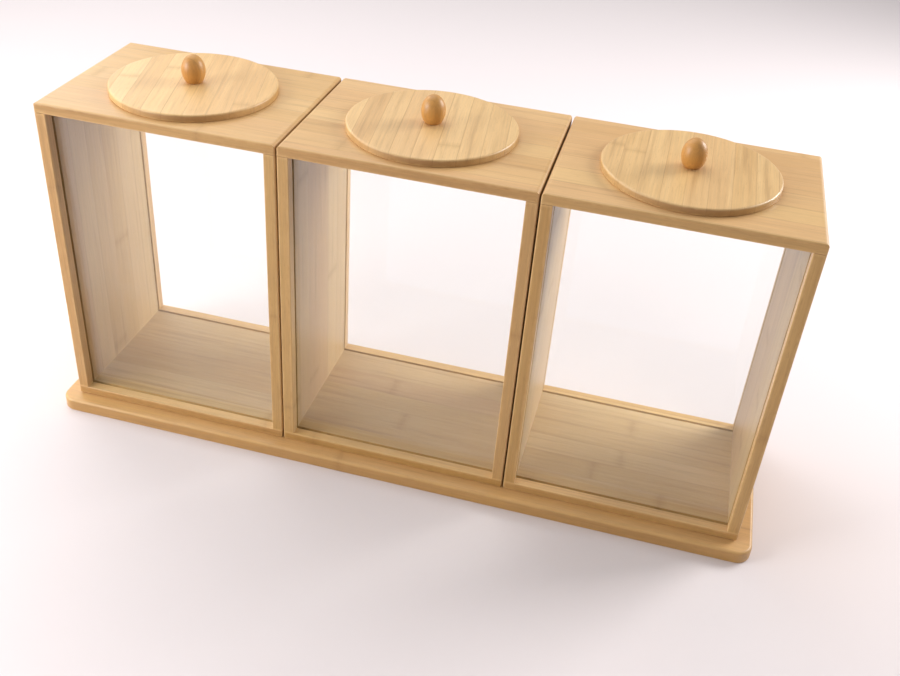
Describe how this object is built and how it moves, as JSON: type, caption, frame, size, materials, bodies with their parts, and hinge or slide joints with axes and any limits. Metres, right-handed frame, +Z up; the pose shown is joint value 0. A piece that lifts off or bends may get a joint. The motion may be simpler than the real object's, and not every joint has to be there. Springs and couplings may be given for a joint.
{
  "type": "bamboo canister set with tray",
  "caption": "Rectangular bamboo storage canisters with clear front and back panes and round knobbed lids, standing in a row on a long bamboo tray.",
  "frame": {"origin": "middle of the tray's underside", "axes": "+X along the row of canisters, -Y the front, +Z up"},
  "size_m": [0.472, 0.133, 0.2435],
  "materials": {
    "bamboo_board": "satin lacquer",
    "bamboo_lid": "satin lacquer",
    "turned_wood": "satin lacquer",
    "clear_pane": "polished",
    "silicone": "matte, translucent",
    "screw_steel": "zinc plated"
  },
  "bodies": {
    "tray": {"tray": "bamboo_board"},
    "canister_1": {"canister_1_top_board": "bamboo_board", "canister_1_floor_board": "bamboo_board", "canister_1_left_board": "bamboo_board", "canister_1_right_board": "bamboo_board", "canister_1_front_pane": "clear_pane", "canister_1_back_pane": "clear_pane"},
    "lid_1": {"canister_1_lid_disc": "bamboo_lid", "canister_1_lid_plug": "bamboo_lid", "canister_1_lid_seal": "silicone", "canister_1_knob": "turned_wood", "canister_1_knob_screw": "screw_steel"},
    "canister_2": {"canister_2_top_board": "bamboo_board", "canister_2_floor_board": "bamboo_board", "canister_2_left_board": "bamboo_board", "canister_2_right_board": "bamboo_board", "canister_2_front_pane": "clear_pane", "canister_2_back_pane": "clear_pane"},
    "lid_2": {"canister_2_lid_disc": "bamboo_lid", "canister_2_lid_plug": "bamboo_lid", "canister_2_lid_seal": "silicone", "canister_2_knob": "turned_wood", "canister_2_knob_screw": "screw_steel"},
    "canister_3": {"canister_3_top_board": "bamboo_board", "canister_3_floor_board": "bamboo_board", "canister_3_left_board": "bamboo_board", "canister_3_right_board": "bamboo_board", "canister_3_front_pane": "clear_pane", "canister_3_back_pane": "clear_pane"},
    "lid_3": {"canister_3_lid_disc": "bamboo_lid", "canister_3_lid_plug": "bamboo_lid", "canister_3_lid_seal": "silicone", "canister_3_knob": "turned_wood", "canister_3_knob_screw": "screw_steel"}
  },
  "joints": [
    {"name": "canister_1_lift", "type": "slide", "parent": "tray", "child": "canister_1", "axis": [0, 0, 1], "range_m": [0, 0.24]},
    {"name": "lid_1_lift", "type": "slide", "parent": "canister_1", "child": "lid_1", "axis": [0, 0, 1], "range_m": [0, 0.06]},
    {"name": "canister_2_lift", "type": "slide", "parent": "tray", "child": "canister_2", "axis": [0, 0, 1], "range_m": [0, 0.24]},
    {"name": "lid_2_lift", "type": "slide", "parent": "canister_2", "child": "lid_2", "axis": [0, 0, 1], "range_m": [0, 0.06]},
    {"name": "canister_3_lift", "type": "slide", "parent": "tray", "child": "canister_3", "axis": [0, 0, 1], "range_m": [0, 0.24]},
    {"name": "lid_3_lift", "type": "slide", "parent": "canister_3", "child": "lid_3", "axis": [0, 0, 1], "range_m": [0, 0.06]}
  ]
}
